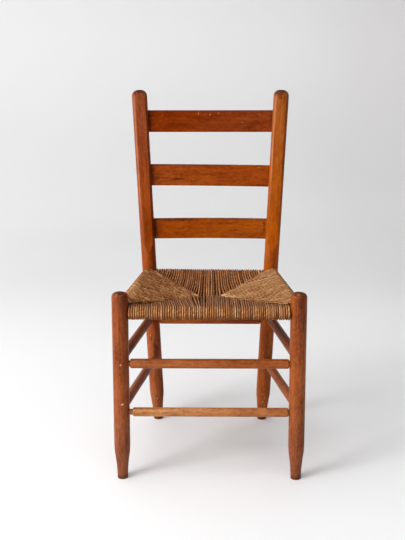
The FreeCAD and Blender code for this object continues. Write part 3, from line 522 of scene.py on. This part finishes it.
def cord_mesh(name, cords, mat, lobe):
    """One mesh of many twisted cords.
    Each cord: points Nx3 in metres, sideways axis, radius, tone, twist phase, twist length, and
    the index where its top run starts, from which the twist is counted.
    outward is 1 where the cord faces out of the seat and -1 where it faces the stuffing."""
    K = 8
    verts, faces, tone_a, groove_a, out_a = [], [], [], [], []
    uv_strip, uv_cord = [], []
    base = 0
    lengths = [float(np.linalg.norm(np.diff(c[0], axis=0), axis=1).sum()) for c in cords]
    strip_h = 2 * math.pi * 0.0024
    gap = 0.0012
    total = sum((l + gap) * (strip_h + gap) for l in lengths)
    W = math.sqrt(total) * 1.06
    rows, place = [], {}
    for i in sorted(range(len(cords)), key=lambda i: -lengths[i]):
        for row in rows:
            if row[1] + lengths[i] + gap <= W:
                place[i] = (row[1], row[0])
                row[1] += lengths[i] + gap
                break
        else:
            y = len(rows) * (strip_h + gap) + gap
            rows.append([y, gap + lengths[i] + gap])
            place[i] = (gap, y)
    side_len = max(W + gap, len(rows) * (strip_h + gap) + 2 * gap)
    for ci, (pts, lat, rad, tone, phase, pitch, start) in enumerate(cords):
        n = len(pts)
        tan = np.gradient(pts, axis=0)
        tan /= np.linalg.norm(tan, axis=1)[:, None]
        nor = np.cross(tan, lat[None, :])
        nor /= np.linalg.norm(nor, axis=1)[:, None]
        bi = np.cross(nor, tan)
        s = np.concatenate([[0.0], np.cumsum(np.linalg.norm(np.diff(pts, axis=0), axis=1))])
        ph = np.arange(K) * 2 * math.pi / K
        tw = 2 * math.pi * (s - s[start]) / pitch + phase
        lobes = np.cos(2 * (ph[None, :] - tw[:, None]))
        rr = rad[:, None] * (1.0 + lobe * lobes)
        ring = (pts[:, None, :] + rr[:, :, None] * (np.cos(ph)[None, :, None] * bi[:, None, :] + np.sin(ph)[None, :, None] * nor[:, None, :]))
        verts.append(ring.reshape(-1, 3))
        tone_a.append(np.repeat(tone, K))
        groove_a.append(((lobes + 1) / 2).reshape(-1))
        out_a.append(np.tile(-np.sin(ph), n))
        i0 = np.arange(n - 1)[:, None] * K
        j = np.arange(K)[None, :]
        a = base + i0 + j
        b = base + i0 + (j + 1) % K
        f = np.stack([a, b, b + K, a + K], axis=2).reshape(-1, 4)
        faces.append(f)
        px, py = place[ci]
        us = (px + s) / side_len
        vv = (py + np.arange(K + 1) / K * strip_h) / side_len
        u0 = np.repeat(us[:-1], K)
        u1 = np.repeat(us[1:], K)
        v0 = np.tile(vv[:-1], n - 1)
        v1 = np.tile(vv[1:], n - 1)
        uv_strip.append(np.stack([np.stack([u0, v0], 1), np.stack([u0, v1], 1), np.stack([u1, v1], 1), np.stack([u1, v0], 1)], axis=1).reshape(-1, 2))
        # second map: metres along the cord, and the angle round it turned with the twist
        cu0, cu1 = np.repeat(s[:-1], K), np.repeat(s[1:], K)
        t0, t1 = np.repeat(tw[:-1], K) / (2 * math.pi), np.repeat(tw[1:], K) / (2 * math.pi)
        w0, w1 = np.tile(np.arange(K) / K, n - 1), np.tile((np.arange(K) + 1) / K, n - 1)
        off = ci * 3.37
        uv_cord.append(np.stack([np.stack([cu0 + off, w0 - t0], 1), np.stack([cu0 + off, w1 - t0], 1),
                                 np.stack([cu1 + off, w1 - t1], 1), np.stack([cu1 + off, w0 - t1], 1)], axis=1).reshape(-1, 2))
        # close both ends
        for e in (0, n - 1):
            idx = base + e * K + np.arange(K)
            if e:
                idx = idx[::-1]
            faces.append(np.array([[idx[0], idx[3], idx[2], idx[1]], [idx[0], idx[5], idx[4], idx[3]], [idx[0], idx[7], idx[6], idx[5]]]))
            q = np.full((12, 2), 0.0)
            cx, cy = (px + (0.0 if e == 0 else s[-1])) / side_len, (py + strip_h / 2) / side_len
            tiny = 0.0004 / side_len
            sgn = -1.0 if e == 0 else 1.0
            for qi in range(3):
                bx = cx + sgn * tiny * 0.2
                q[qi * 4 + 0] = (bx, cy + (qi - 1) * tiny * 2)
                q[qi * 4 + 1] = (bx + sgn * tiny * 0.6, cy + (qi - 1) * tiny * 2)
                q[qi * 4 + 2] = (bx + sgn * tiny * 0.6, cy + (qi - 1) * tiny * 2 + tiny)
                q[qi * 4 + 3] = (bx, cy + (qi - 1) * tiny * 2 + tiny)
            uv_strip.append(q)
            uv_cord.append(np.full((12, 2), off))
        base += n * K
    V = np.vstack(verts)
    F = np.vstack(faces)
    me = bpy.data.meshes.new(name)
    me.vertices.add(len(V))
    me.vertices.foreach_set("co", V.astype(np.float32).ravel())
    me.loops.add(F.size)
    me.loops.foreach_set("vertex_index", F.astype(np.int32).ravel())
    me.polygons.add(len(F))
    me.polygons.foreach_set("loop_start", (np.arange(len(F)) * 4).astype(np.int32))
    me.polygons.foreach_set("loop_total", np.full(len(F), 4, np.int32))
    me.update(calc_edges=True)
    me.polygons.foreach_set("use_smooth", np.ones(len(F), bool))
    for nm, data in (("OFBake", uv_strip), ("cord", uv_cord)):
        uv = me.uv_layers.new(name=nm)
        uv.data.foreach_set("uv", np.vstack(data).astype(np.float32).ravel())
    for nm, data in (("tone", tone_a), ("groove", groove_a), ("outward", out_a)):
        at = me.attributes.new(nm, "FLOAT", "POINT")
        at.data.foreach_set("value", np.concatenate(data).astype(np.float32))
    me.validate()
    print("RUSH", name, "triangles", 2 * len(F))
    ob = bpy.data.objects.new(name, me)
    bpy.context.scene.collection.objects.link(ob)
    me.materials.append(mat)
    return ob


RUSH_C = [lin(74, 38, 14), lin(112, 66, 34), lin(150, 97, 56), lin(190, 134, 86), lin(230, 182, 132)]
DASH = {"left": (0.54, -0.84), "right": (0.58, 0.81)}   # plan direction in which the twists line up


def rush_material(side):
    T = Tree("rush_" + side)
    tone = T.n("Attribute", attribute_name="tone").outputs["Fac"]
    groove = T.n("Attribute", attribute_name="groove").outputs["Fac"]
    outward = T.n("Attribute", attribute_name="outward").outputs["Fac"]
    uv = T.n("UVMap", uv_map="cord").outputs[0]
    tc = T.n("TexCoord")
    flat = side in DASH
    leaf = T.noise(T.mapping(uv, scale=(48.0, 5.0 if flat else 2.2, 1.0)), 1.0, 3.0, 0.6)
    fib = T.noise(T.mapping(uv, scale=(90.0, 40.0, 1.0)), 1.0, 3.0, 0.65)
    patch = T.noise(tc.outputs["Object"], 34.0, 2.0)
    if flat:
        dx, dy = DASH[side]
        turned = T.mapping(tc.outputs["Object"], rot=(0.0, 0.0, -math.atan2(dy, dx)))
        fleck = T.noise(T.mapping(turned, scale=(36.0, 225.0, 140.0)), 1.0, 2.0, 0.55, 0.35)
        shade = T.noise(T.mapping(turned, loc=(3.1, 8.7, 0.0), scale=(30.0, 180.0, 120.0)), 1.0, 2.0, 0.55, 0.35)
    else:
        fleck = T.noise(T.mapping(uv, loc=(7.3, 2.1, 0.0), scale=(95.0, 2.6, 1.0)), 1.0, 1.0, 0.5)
        shade = T.noise(T.mapping(uv, loc=(1.3, 5.1, 0.0), scale=(70.0, 1.8, 1.0)), 1.0, 1.0, 0.5)
    t = T.math("ADD", tone, T.math("MULTIPLY", T.math("SUBTRACT", leaf, 0.5), 0.40 if flat else 0.55))
    t = T.math("ADD", t, T.math("MULTIPLY", T.math("SUBTRACT", fib, 0.5), 0.40))
    t = T.math("ADD", t, T.math("MULTIPLY", T.math("SUBTRACT", patch, 0.5), 0.40 if flat else 0.07))
    t = T.math("ADD", t, T.math("MULTIPLY", T.math("SUBTRACT", shade, 0.5), 0.7 if flat else 0.5))
    # painted shade in the grooves of each cord's twist and painted highlight on its lobes
    t = T.math("ADD", t, T.math("MULTIPLY", T.math("SUBTRACT", groove, 0.6), 0.85 if flat else 0.13), clamp=True)
    col = T.ramp(t, [(0.0, RUSH_C[0]), (0.28, RUSH_C[1]), (0.52, RUSH_C[2]), (0.76, RUSH_C[3]), (1.0, RUSH_C[4])])
    # short pale lengths of dry leaf, and on the side sections painted highlights along the lines where the twists line
    # up
    if flat:
        fleck = T.math("MULTIPLY_ADD", T.math("SUBTRACT", tone, {"left": 0.55, "right": 0.60}[side]), 0.45, fleck)
    pale = T.maprange(fleck, *{"left": (0.53, 0.68), "right": (0.56, 0.70)}.get(side, (0.60, 0.70)))
    col = T.mix(T.math("MULTIPLY", pale, {"left": 0.80, "right": 0.60, "front": 0.36}.get(side, 0.50)), col, lin(226, 186, 130))
    # dust and shade held in the crevices between cords
    deep = T.maprange(outward, *{"front": (0.30, 1.0), "back": (0.20, 0.97)}.get(side, (0.15, 0.95)), 1.0, 0.0)
    col = T.mix(T.math("MULTIPLY", deep, {"left": 0.45, "right": 0.45, "front": 0.88, "back": 0.92}[side]), col, lin(84, 32, 8) if side == "front" else lin(62, 26, 8))
    if side == "front":
        # dust on the flat of the seat behind the roll
        sp = T.n("SeparateXYZ")
        T.put(sp.inputs[0], tc.outputs["Object"])
        col = T.mix(T.math("MULTIPLY", T.maprange(sp.outputs[1], -Y0 + 0.004, -Y0 + 0.016), 0.20), col, lin(138, 106, 92))
    tr, tg, tb = RUSH_TINT[side]
    col = T.vmath("SCALE", T.vmath("MULTIPLY", col, (tr / 2.0, tg / 2.0, tb / 2.0)), scale=2.0)
    T.put(T.bsdf.inputs["Base Color"], col)
    T.put(T.bsdf.inputs["Roughness"], T.maprange(fib, 0.3, 0.7, 0.50, 0.68, smooth=False))
    T.bsdf.inputs["Specular IOR Level"].default_value = 0.05
    T.put(T.bsdf.inputs["Normal"], T.bump(fib, 0.5, 0.0006))
    return T.mat


RUSH_TINT = {"front": (0.95, 0.90, 0.86), "back": (1.06, 1.00, 1.02), "left": (0.93, 0.84, 0.81), "right": (0.92, 0.94, 0.97)}
FILL = 0.455                                   # a cord's radius as a share of the space between centres


def build_section(side, count, lo, hi):
    """The cords of one seat section, laid side by side along its rail."""
    r = np.random.default_rng({"front": 11, "back": 23, "left": 37, "right": 53}[side])
    cords = []
    flat = side in ("left", "right")
    wide = np.clip(r.normal(1.0, {"front": 0.055, "back": 0.07}.get(side, 0.03), count), 0.88, 1.12)
    if not flat:
        wide = wide * (1.0 + smooth_noise(count, 7, 0.05, r))
    edges = lo + (hi - lo) * np.concatenate([[0.0], np.cumsum(wide)]) / wide.sum()
    centres = (edges[:-1] + edges[1:]) / 2
    wide = wide / wide.mean()
    pitch0 = (hi - lo) / count
    kk = 1.0 / math.cos(math.atan2(HF - HB, DEP)) if flat else 1.0
    # neighbours bunch together: sideways shifts that grow towards the middle of the seat
    if side == "back":
        bunch, i, pair = np.zeros(count), 0, True
        while i < count:
            if pair and i + 1 < count:
                bunch[i], bunch[i + 1] = 0.22, -0.22
                i += 2
            else:
                i += 1
            pair = not pair if r.random() < 0.8 else pair
        bunch = bunch + r.normal(0.0, 0.16, count)
    else:
        bunch = r.normal(0.0, 1.0, count)
        bunch = (bunch - np.convolve(bunch, np.ones(3) / 3.0, mode="same")) * (0.35 if flat else 0.30)
    own = {"front": 0.105, "back": 0.10, "left": 0.02, "right": 0.02}[side]
    tones = np.clip(smooth_noise(count, count / 6.0, 0.015, r) + r.normal(0, own, count), -0.22, 0.24)
    if not flat:
        tones = tones - 0.85 * np.convolve(tones, np.ones(5) / 5.0, mode="same")
    if side == "front":
        tones = np.clip(tones, -0.24, 0.15)
    phase = float(r.uniform(0, 6.28))
    twist_step = {"front": 1.2, "back": 1.2, "left": 1.41, "right": 1.45}[side]
    hand = -1.0 if side in ("left", "back") else 1.0
    for i, c in enumerate(centres):
        c = c + 0.15 * r.normal()
        run = top_run(side, c)
        low_run = max(seam_reach(side, c), 6.0)
        over = 3.0 + 1.3 * float(np.clip(r.normal(), -1.6, 1.6)) if flat else -0.6
        corner = step01((85.0 - c) / 60.0) + step01((c - 290.0) / 40.0) if flat else 0.0
        bridge = not flat and abs(c) < AX + 2.0
        if bridge:
            over = 1.6
        path, nl, na = cord_path(side, c, run, low_run, over, 2.2 if bridge else 5.5 + 5.0 * corner, 7.0 + 5.0 * corner)
        n = len(path)
        inw, hgt = path[:, 0], path[:, 1]
        topmask = np.arange(n) >= nl + na // 2
        grow = np.where(topmask, np.clip((inw - 4) / 60.0, 0, 1), np.clip((inw - 4) / 60.0, 0, 1) * 0.6)
        lat = bunch[i] * grow
        lat = lat + smooth_noise(n, n / 16.0, 0.20, r) * np.clip((inw + 14) / 20, 0, 1)
        lat = lat + np.array([drift(side, c, v, run) if m_ else 0.0 for v, m_ in zip(inw, topmask)])
        if side == "front":
            gap0 = c - SPLIT
            lat = lat + 0.55 * np.sign(gap0) * math.exp(-abs(gap0) / 6.0)
        if side == "right":
            # two cords of the bridge end stand apart
            lat = lat + 1.0 * np.sign(c - AY) * math.exp(-abs(c - AY) / 4.0) * np.where(topmask, np.clip((inw - (run - 45.0)) / 20.0, 0, 1), 0.0)
        hgt = hgt + smooth_noise(n, n / 14.0, 0.14, r) + 0.12 * r.normal()
        if side == "back":
            hgt = hgt - 1.5 * (c / HB) * np.clip(1.0 - inw / DMAX[side], 0, 1)
        if side == "front":
            # the outermost cords climb to meet the higher side sections
            hgt = hgt + 2.6 * step01((abs(c) - 140.0) / 40.0) * np.clip(inw / 16.0, 0, 1) * topmask
        rad = np.full(n, (0.445 if side == "back" else FILL) * pitch0 / kk * (1.0 + 0.85 * (wide[i] - 1.0) + 0.03 * r.normal())) / 1000.0
        rad = rad * (1.0 + smooth_noise(n, n / 12.0, 0.035, r))
        base_tone = {"front": 0.58, "back": 0.52, "left": 0.55, "right": 0.60}[side]
        tn = np.full(n, base_tone + tones[i]) + smooth_noise(n, n / 20.0, 0.05, r)
        roll = np.clip((hgt - RAIL_Z[side]) / ROLL[side], -1, 1)
        if side == "front":
            # painted highlight and wear on top of the front roll, painted shade below it, dusty behind it
            onroll = np.clip(1.0 - inw / 7.0, 0, 1)
            tn = tn + onroll * (0.10 + np.where(roll > 0, 0.04 * roll, 0.40 * roll)) - 0.02 * (1 - onroll) * topmask
        if side == "left":
            # a paler band along the crest of the left roll, in front of the back corner, and darker on the roll's outer
            # face
            tn = tn + 0.16 * np.clip(1.0 - np.abs(inw - 2.0) / 13.0, 0, 1) * step01((c - 60.0) / 50.0) * step01((225.0 - c) / 60.0)
            tn = tn - 0.34 * np.clip((-5.0 - inw) / 6.0, 0, 1)
        # painted shade on the outer face of the right roll
        if side == "right":
            tn = tn - 0.45 * np.clip((-7.0 - inw) / 6.0, 0, 1)
        if flat:
            tn = tn + 0.14 * np.clip((inw - (run - 40.0)) / 40.0, 0, 1) * math.exp(-((c - AY) / 40.0) ** 2)
            tip = math.exp(-((c - AY) / 5.0) ** 2) * np.clip((inw - (run - 20.0)) / 10.0, 0, 1)
            tn = tn + (0.45 if side == "right" else 0.25) * tip * topmask
        phase += twist_step + (0.16 if flat else 0.35) * float(r.normal())
        if side == "front":
            px, py = c + lat, inw
            lv = np.array([1.0, 0.0, 0.0])
        elif side == "back":
            px, py = c + lat, DEP - inw
            lv = np.array([-1.0, 0.0, 0.0])
        else:
            sx = -1.0 if side == "left" else 1.0
            yy = c + lat
            xr = HF - (HF - HB) * yy / DEP
            px, py = sx * (xr - inw), yy
            lv = np.array([0.0, sx, 0.0])
        pts = np.stack([px, py, hgt], axis=1) / 1000.0
        pts[:, 1] -= Y0
        cords.append((pts, lv, rad, tn, phase, hand * (0.018 if flat else 0.0145) * float(1 + (0.01 if flat else 0.05) * r.normal()), nl + na))
    if not flat:
        # first strands, wound crosswise under the bridge
        for z_, y_ in {"front": ((393.2, 183.3), (393.0, 188.0), (388.3, 183.4), (388.2, 188.1)),
                       "back": ((393.2, 192.6), (393.0, 197.2), (388.3, 192.7), (388.2, 197.3))}[side]:
            xs = np.linspace(-28.5, 28.5, 24)
            pts = np.stack([xs, np.full(24, y_) + smooth_noise(24, 5, 0.2, r), np.full(24, z_) + smooth_noise(24, 5, 0.15, r)], axis=1) / 1000.0
            pts[:, 1] -= Y0
            cords.append((pts, np.array([0.0, 1.0, 0.0]), np.full(24, 0.00235), np.full(24, 0.22), 0.0, 0.0145, 0))
    ob = cord_mesh("rush_" + side, cords, rush_material(side), 0.13 if flat else 0.055)
    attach(ob, "root")
    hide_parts("seat_rush_" + side)
    return ob


sections = {
    "front": build_section("front", 72, -184.6, 184.6),
    "back": build_section("back", 50, -141.6, 141.6),
    "left": build_section("left", 58, 20.0, 329.0),
    "right": build_section("right", 58, 20.0, 329.0),
}


# ------------------------------------------------------------------ stuffing between the layers
def stuffing_material():
    T = Tree("stuffing_leaf")
    tc = T.n("TexCoord")
    o = tc.outputs["Object"]
    a = T.noise(T.mapping(o, rot=(0, 0, 0.5), scale=(1.0, 0.12, 1.0)), 260.0, 3.0, 0.6)
    b = T.noise(T.mapping(o, rot=(0, 0, -0.7), scale=(0.12, 1.0, 1.0)), 240.0, 3.0, 0.6)
    k = T.math("MULTIPLY", T.math("ADD", a, b), 0.5)
    # dark colour, partly painted shade where the pad shows between the cords
    T.put(T.bsdf.inputs["Base Color"], T.ramp(k, [(0.3, lin(50, 24, 10)), (0.5, lin(82, 46, 20)), (0.7, lin(112, 72, 36))]))
    T.bsdf.inputs["Roughness"].default_value = 0.85
    T.bsdf.inputs["Specular IOR Level"].default_value = 0.0
    T.put(T.bsdf.inputs["Normal"], T.bump(k, 0.8, 0.0015))
    return T.mat


STUFF = stuffing_material()


def stuffing(side):
    """A packed pad of loose leaf that fills one pocket: rows of points between the two layers."""
    r = np.random.default_rng({"front": 5, "back": 6, "left": 7, "right": 8}[side])
    D = DMAX[side]
    nu, nv = 22, 34
    V, idx = [], {}
    for layer in (0, 1):
        for i in range(nu + 1):
            d0 = ROLL[side] - 1.8
            d = d0 + (D - 10.5 - d0) * i / nu
            for j in range(nv + 1):
                f = j / nv
                u = d / D
                if side in ("front", "back"):
                    half = HF if side == "front" else HB
                    w = half + (AX - half) * u - 3.0
                    w = min(w, half - 21.5)
                    x = -w + 2 * w * f
                    y = d if side == "front" else DEP - d
                else:
                    ya, yb = AY * u + 3.0, DEP - (DEP - AY) * u - 3.0
                    ya, yb = max(ya, 22.0), min(yb, DEP - 22.5)
                    y = ya + (yb - ya) * f
                    xr = HF - (HF - HB) * y / DEP
                    x = (xr - d / math.cos(math.atan2(HF - HB, DEP))) * (-1.0 if side == "left" else 1.0)
                zt, zl = layer_z(side, d, True) - 3.1, layer_z(side, d, False) + 3.1
                e = min(i, nu - i, j, nv - j)
                round_ = 1.0 if e > 1 else (0.86 if e == 1 else 0.35)
                zm, zh = (zt + zl) / 2, (zt - zl) / 2 * round_
                z = zm + (zh if layer else -zh) + (r.normal(0, 0.25) - 0.3) * (1 if layer else -1)
                idx[(layer, i, j)] = len(V)
                V.append((x / 1000.0, y / 1000.0 - Y0, z / 1000.0))
    F = []
    for layer in (0, 1):
        for i in range(nu):
            for j in range(nv):
                q = [idx[(layer, i, j)], idx[(layer, i + 1, j)], idx[(layer, i + 1, j + 1)], idx[(layer, i, j + 1)]]
                F.append(q if layer else q[::-1])
    for i in range(nu):
        for j, fl in ((0, False), (nv, True)):
            q = [idx[(0, i, j)], idx[(0, i + 1, j)], idx[(1, i + 1, j)], idx[(1, i, j)]]
            F.append(q if not fl else q[::-1])
    for j in range(nv):
        for i, fl in ((0, True), (nu, False)):
            q = [idx[(0, i, j)], idx[(0, i, j + 1)], idx[(1, i, j + 1)], idx[(1, i, j)]]
            F.append(q if not fl else q[::-1])
    me = bpy.data.meshes.new("stuffing_pad_" + side)
    me.from_pydata(V, [], F)
    me.validate()
    import bmesh
    bm = bmesh.new()
    bm.from_mesh(me)
    bmesh.ops.recalc_face_normals(bm, faces=bm.faces)
    bm.to_mesh(me)
    bm.free()
    me.polygons.foreach_set("use_smooth", np.ones(len(me.polygons), bool))
    ob = bpy.data.objects.new("stuffing_pad_" + side, me)
    bpy.context.scene.collection.objects.link(ob)
    me.materials.append(STUFF)
    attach(ob, "root")
    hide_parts("stuffing_" + side)
    return ob


for s_ in ("front", "back", "left", "right"):
    stuffing(s_)


# ------------------------------------------------------------------ floor and light
def stage():
    me = bpy.data.meshes.new("floor_sweep")
    ys = [-6.0, -3.0, 0.0, 1.6, 2.6]
    prof = [(y, 0.0) for y in ys]
    R = 1.3
    for i in range(1, 17):
        a = math.pi / 2 * i / 16
        prof.append((2.6 + R * math.sin(a), R - R * math.cos(a)))
    prof.append((2.6 + R, 6.0))
    V, F = [], []
    for y, z in prof:
        V += [(-7.0, y, z), (7.0, y, z)]
    for i in range(len(prof) - 1):
        F.append([2 * i, 2 * i + 1, 2 * i + 3, 2 * i + 2])
    me.from_pydata(V, [], F)
    me.polygons.foreach_set("use_smooth", np.ones(len(me.polygons), bool))
    ob = bpy.data.objects.new("floor_sweep", me)
    bpy.context.scene.collection.objects.link(ob)
    T = Tree("floor_paper")
    tc = T.n("TexCoord")
    k = T.noise(tc.outputs["Object"], 0.9, 2.0)
    sep = T.n("SeparateXYZ")
    T.put(sep.inputs[0], tc.outputs["Object"])
    # the paper's colour is painted light and shade: lighter in front of the chair, to the left and higher up the wall,
    # darker behind the chair, to the right and at the foot of the wall
    near = T.ramp(k, [(0.3, (0.875, 0.877, 0.882)), (0.7, (0.895, 0.896, 0.900))])
    low = T.ramp(k, [(0.3, (0.648, 0.640, 0.646)), (0.7, (0.666, 0.658, 0.662))])
    pale = T.ramp(k, [(0.3, (0.690, 0.690, 0.694)), (0.7, (0.710, 0.709, 0.711))])
    low = T.mix(T.maprange(sep.outputs[0], 0.1, 1.0, 1.0, 0.0), low, pale)
    high = T.ramp(k, [(0.3, (0.800, 0.799, 0.805)), (0.7, (0.820, 0.818, 0.822))])
    high = T.mix(T.maprange(sep.outputs[0], 0.4, 1.2), high, T.ramp(k, [(0.3, (0.756, 0.742, 0.752)), (0.7, (0.774, 0.760, 0.770))]))
    far = T.mix(T.maprange(sep.outputs[2], 0.10, 1.15), low, high)
    front = T.ramp(k, [(0.3, (0.950, 0.955, 0.960)), (0.7, (0.962, 0.966, 0.970))])
    near = T.mix(T.maprange(sep.outputs[1], -0.45, 0.15, 1.0, 0.0), near, front)
    back = T.ramp(k, [(0.3, (0.760, 0.760, 0.765)), (0.7, (0.780, 0.778, 0.781))])
    back = T.mix(T.maprange(sep.outputs[0], 0.3, 1.1), back, T.ramp(k, [(0.3, (0.715, 0.710, 0.710)), (0.7, (0.733, 0.727, 0.726))]))
    near = T.mix(T.maprange(sep.outputs[1], 0.5, 1.8), near, back)
    T.put(T.bsdf.inputs["Base Color"], T.mix(T.maprange(sep.outputs[1], 2.5, 3.9), near, far))
    T.bsdf.inputs["Roughness"].default_value = 0.75
    T.bsdf.inputs["Specular IOR Level"].default_value = 0.2
    me.materials.append(T.mat)


stage()


def area(name, loc, target, size, power, color=(1, 1, 1)):
    l = bpy.data.lights.new(name, "AREA")
    l.shape = "RECTANGLE"
    l.size, l.size_y = size
    l.energy = power
    l.color = color
    ob = bpy.data.objects.new(name, l)
    ob.location = loc
    ob.rotation_mode = "QUATERNION"
    ob.rotation_quaternion = (Vector(target) - Vector(loc)).to_track_quat("-Z", "Y")
    bpy.context.scene.collection.objects.link(ob)
    return ob


area("key_left", (-3.3, -2.4, 2.2), (0.0, 0.0, 0.2), (1.6, 1.2), 100.0)
area("window", (-4.0, -1.2, 1.35), (0.0, 0.1, 0.4), (4.4, 2.2), 60.0)
area("rim_left", (-3.3, 2.3, 1.0), (0.0, 0.0, 0.5), (0.9, 1.8), 14.0)
area("wall_wash", (-2.6, 1.4, 2.6), (-0.8, 3.9, 1.6), (1.6, 1.6), 4.2)
world = bpy.data.worlds.new("studio")
bpy.context.scene.world = world
world.use_nodes = True
wt = world.node_tree
bg = wt.nodes["Background"]
tcw = wt.nodes.new("ShaderNodeTexCoord")


def lobe(direction, lo, hi, a_, b_):
    """Brightness by direction: a_ away from the direction, b_ along it."""
    dot = wt.nodes.new("ShaderNodeVectorMath")
    dot.operation = "DOT_PRODUCT"
    wt.links.new(tcw.outputs["Generated"], dot.inputs[0])
    dot.inputs[1].default_value = tuple(Vector(direction).normalized())
    nd = wt.nodes.new("ShaderNodeMapRange")
    nd.interpolation_type = "SMOOTHSTEP"
    wt.links.new(dot.outputs["Value"], nd.inputs[0])
    for i, v in enumerate((lo, hi, a_, b_)):
        nd.inputs[1 + i].default_value = v
    return nd.outputs[0]


# a large soft light high in front, a dim room at eye level in front and to the right
mul = wt.nodes.new("ShaderNodeMath")
mul.operation = "MULTIPLY"
wt.links.new(lobe((-0.25, -0.60, 0.76), 0.55, 1.0, 0.72, 1.60), mul.inputs[0])
wt.links.new(lobe((0.0, -1.0, 0.0), 0.74, 0.94, 1.0, 0.06), mul.inputs[1])
mul2 = wt.nodes.new("ShaderNodeMath")
mul2.operation = "MULTIPLY"
wt.links.new(mul.outputs[0], mul2.inputs[0])
wt.links.new(lobe((1.0, 0.0, 0.1), 0.02, 0.80, 1.0, 0.04), mul2.inputs[1])
wt.links.new(mul2.outputs[0], bg.inputs[1])
bg.inputs[0].default_value = (1.0, 1.0, 1.0, 1.0)
bpy.context.scene.view_settings.view_transform = "Standard"
